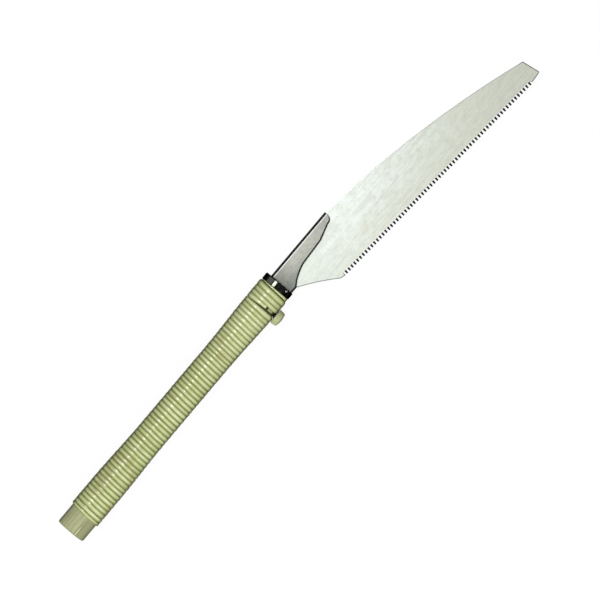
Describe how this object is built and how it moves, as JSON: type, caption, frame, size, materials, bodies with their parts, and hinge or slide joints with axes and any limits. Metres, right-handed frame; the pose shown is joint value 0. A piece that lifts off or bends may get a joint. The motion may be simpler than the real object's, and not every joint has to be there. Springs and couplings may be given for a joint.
{
  "type": "bamboo saw",
  "caption": "Pull saw for bamboo with a cane-bound oval handle, a folded steel blade holder and a thumb screw that clamps the exchangeable toothed blade.",
  "frame": {"origin": "centre of the flat butt face, on the handle's axis and in the blade's plane", "axes": "+X along the handle towards the blade's tip, +Y towards the blade's back, +Z square to the blade's flat; the saw lies flat with -Z down"},
  "size_m": [0.5881, 0.0739, 0.0268],
  "materials": {
    "core_wood": "bare weathered straight-grained wood, dull grey-brown",
    "cane": "split rattan cane with its glossy skin outwards, pale green-yellow",
    "ferrule_chrome": "polished black chrome",
    "pin_steel": "plain bright steel",
    "holder_steel": "lengthwise brushed steel, blacked along the fold",
    "blade_steel": "pale satin ground steel with black hardened teeth",
    "knob_plastic": "moulded pale olive-cream plastic",
    "clamp_brass": "plain turned brass"
  },
  "bodies": {
    "handle": {"core_upper": "core_wood", "core_lower": "core_wood", "grip_binding": "cane", "head_binding": "cane", "ferrule": "ferrule_chrome", "ferrule_brad": "pin_steel", "blade_holder": "holder_steel", "hook_pin": "pin_steel", "tang_pin": "pin_steel", "clamp_nut": "clamp_brass"},
    "blade": {"blade": "blade_steel"},
    "shoe": {"clamp_shoe": "clamp_brass"},
    "thumb_screw": {"clamp_screw": "pin_steel", "clamp_knob": "knob_plastic"}
  },
  "joints": [
    {"name": "blade_pull", "type": "slide", "parent": "handle", "child": "blade", "axis": [1, 0, 0], "range_m": [0, 0.125]},
    {"name": "clamp_travel", "type": "slide", "parent": "handle", "child": "shoe", "axis": [0, -1, 0], "range_m": [0, 0.0024]},
    {"name": "knob_turn", "type": "hinge", "parent": "shoe", "child": "thumb_screw", "pos_m": [0.267, 0, 0], "axis": [0, -1, 0], "range_deg": [0, 1080.5]}
  ],
  "couplings": [
    {"joint": "knob_turn", "follows": "clamp_travel", "rad_per_m": 7854}
  ]
}
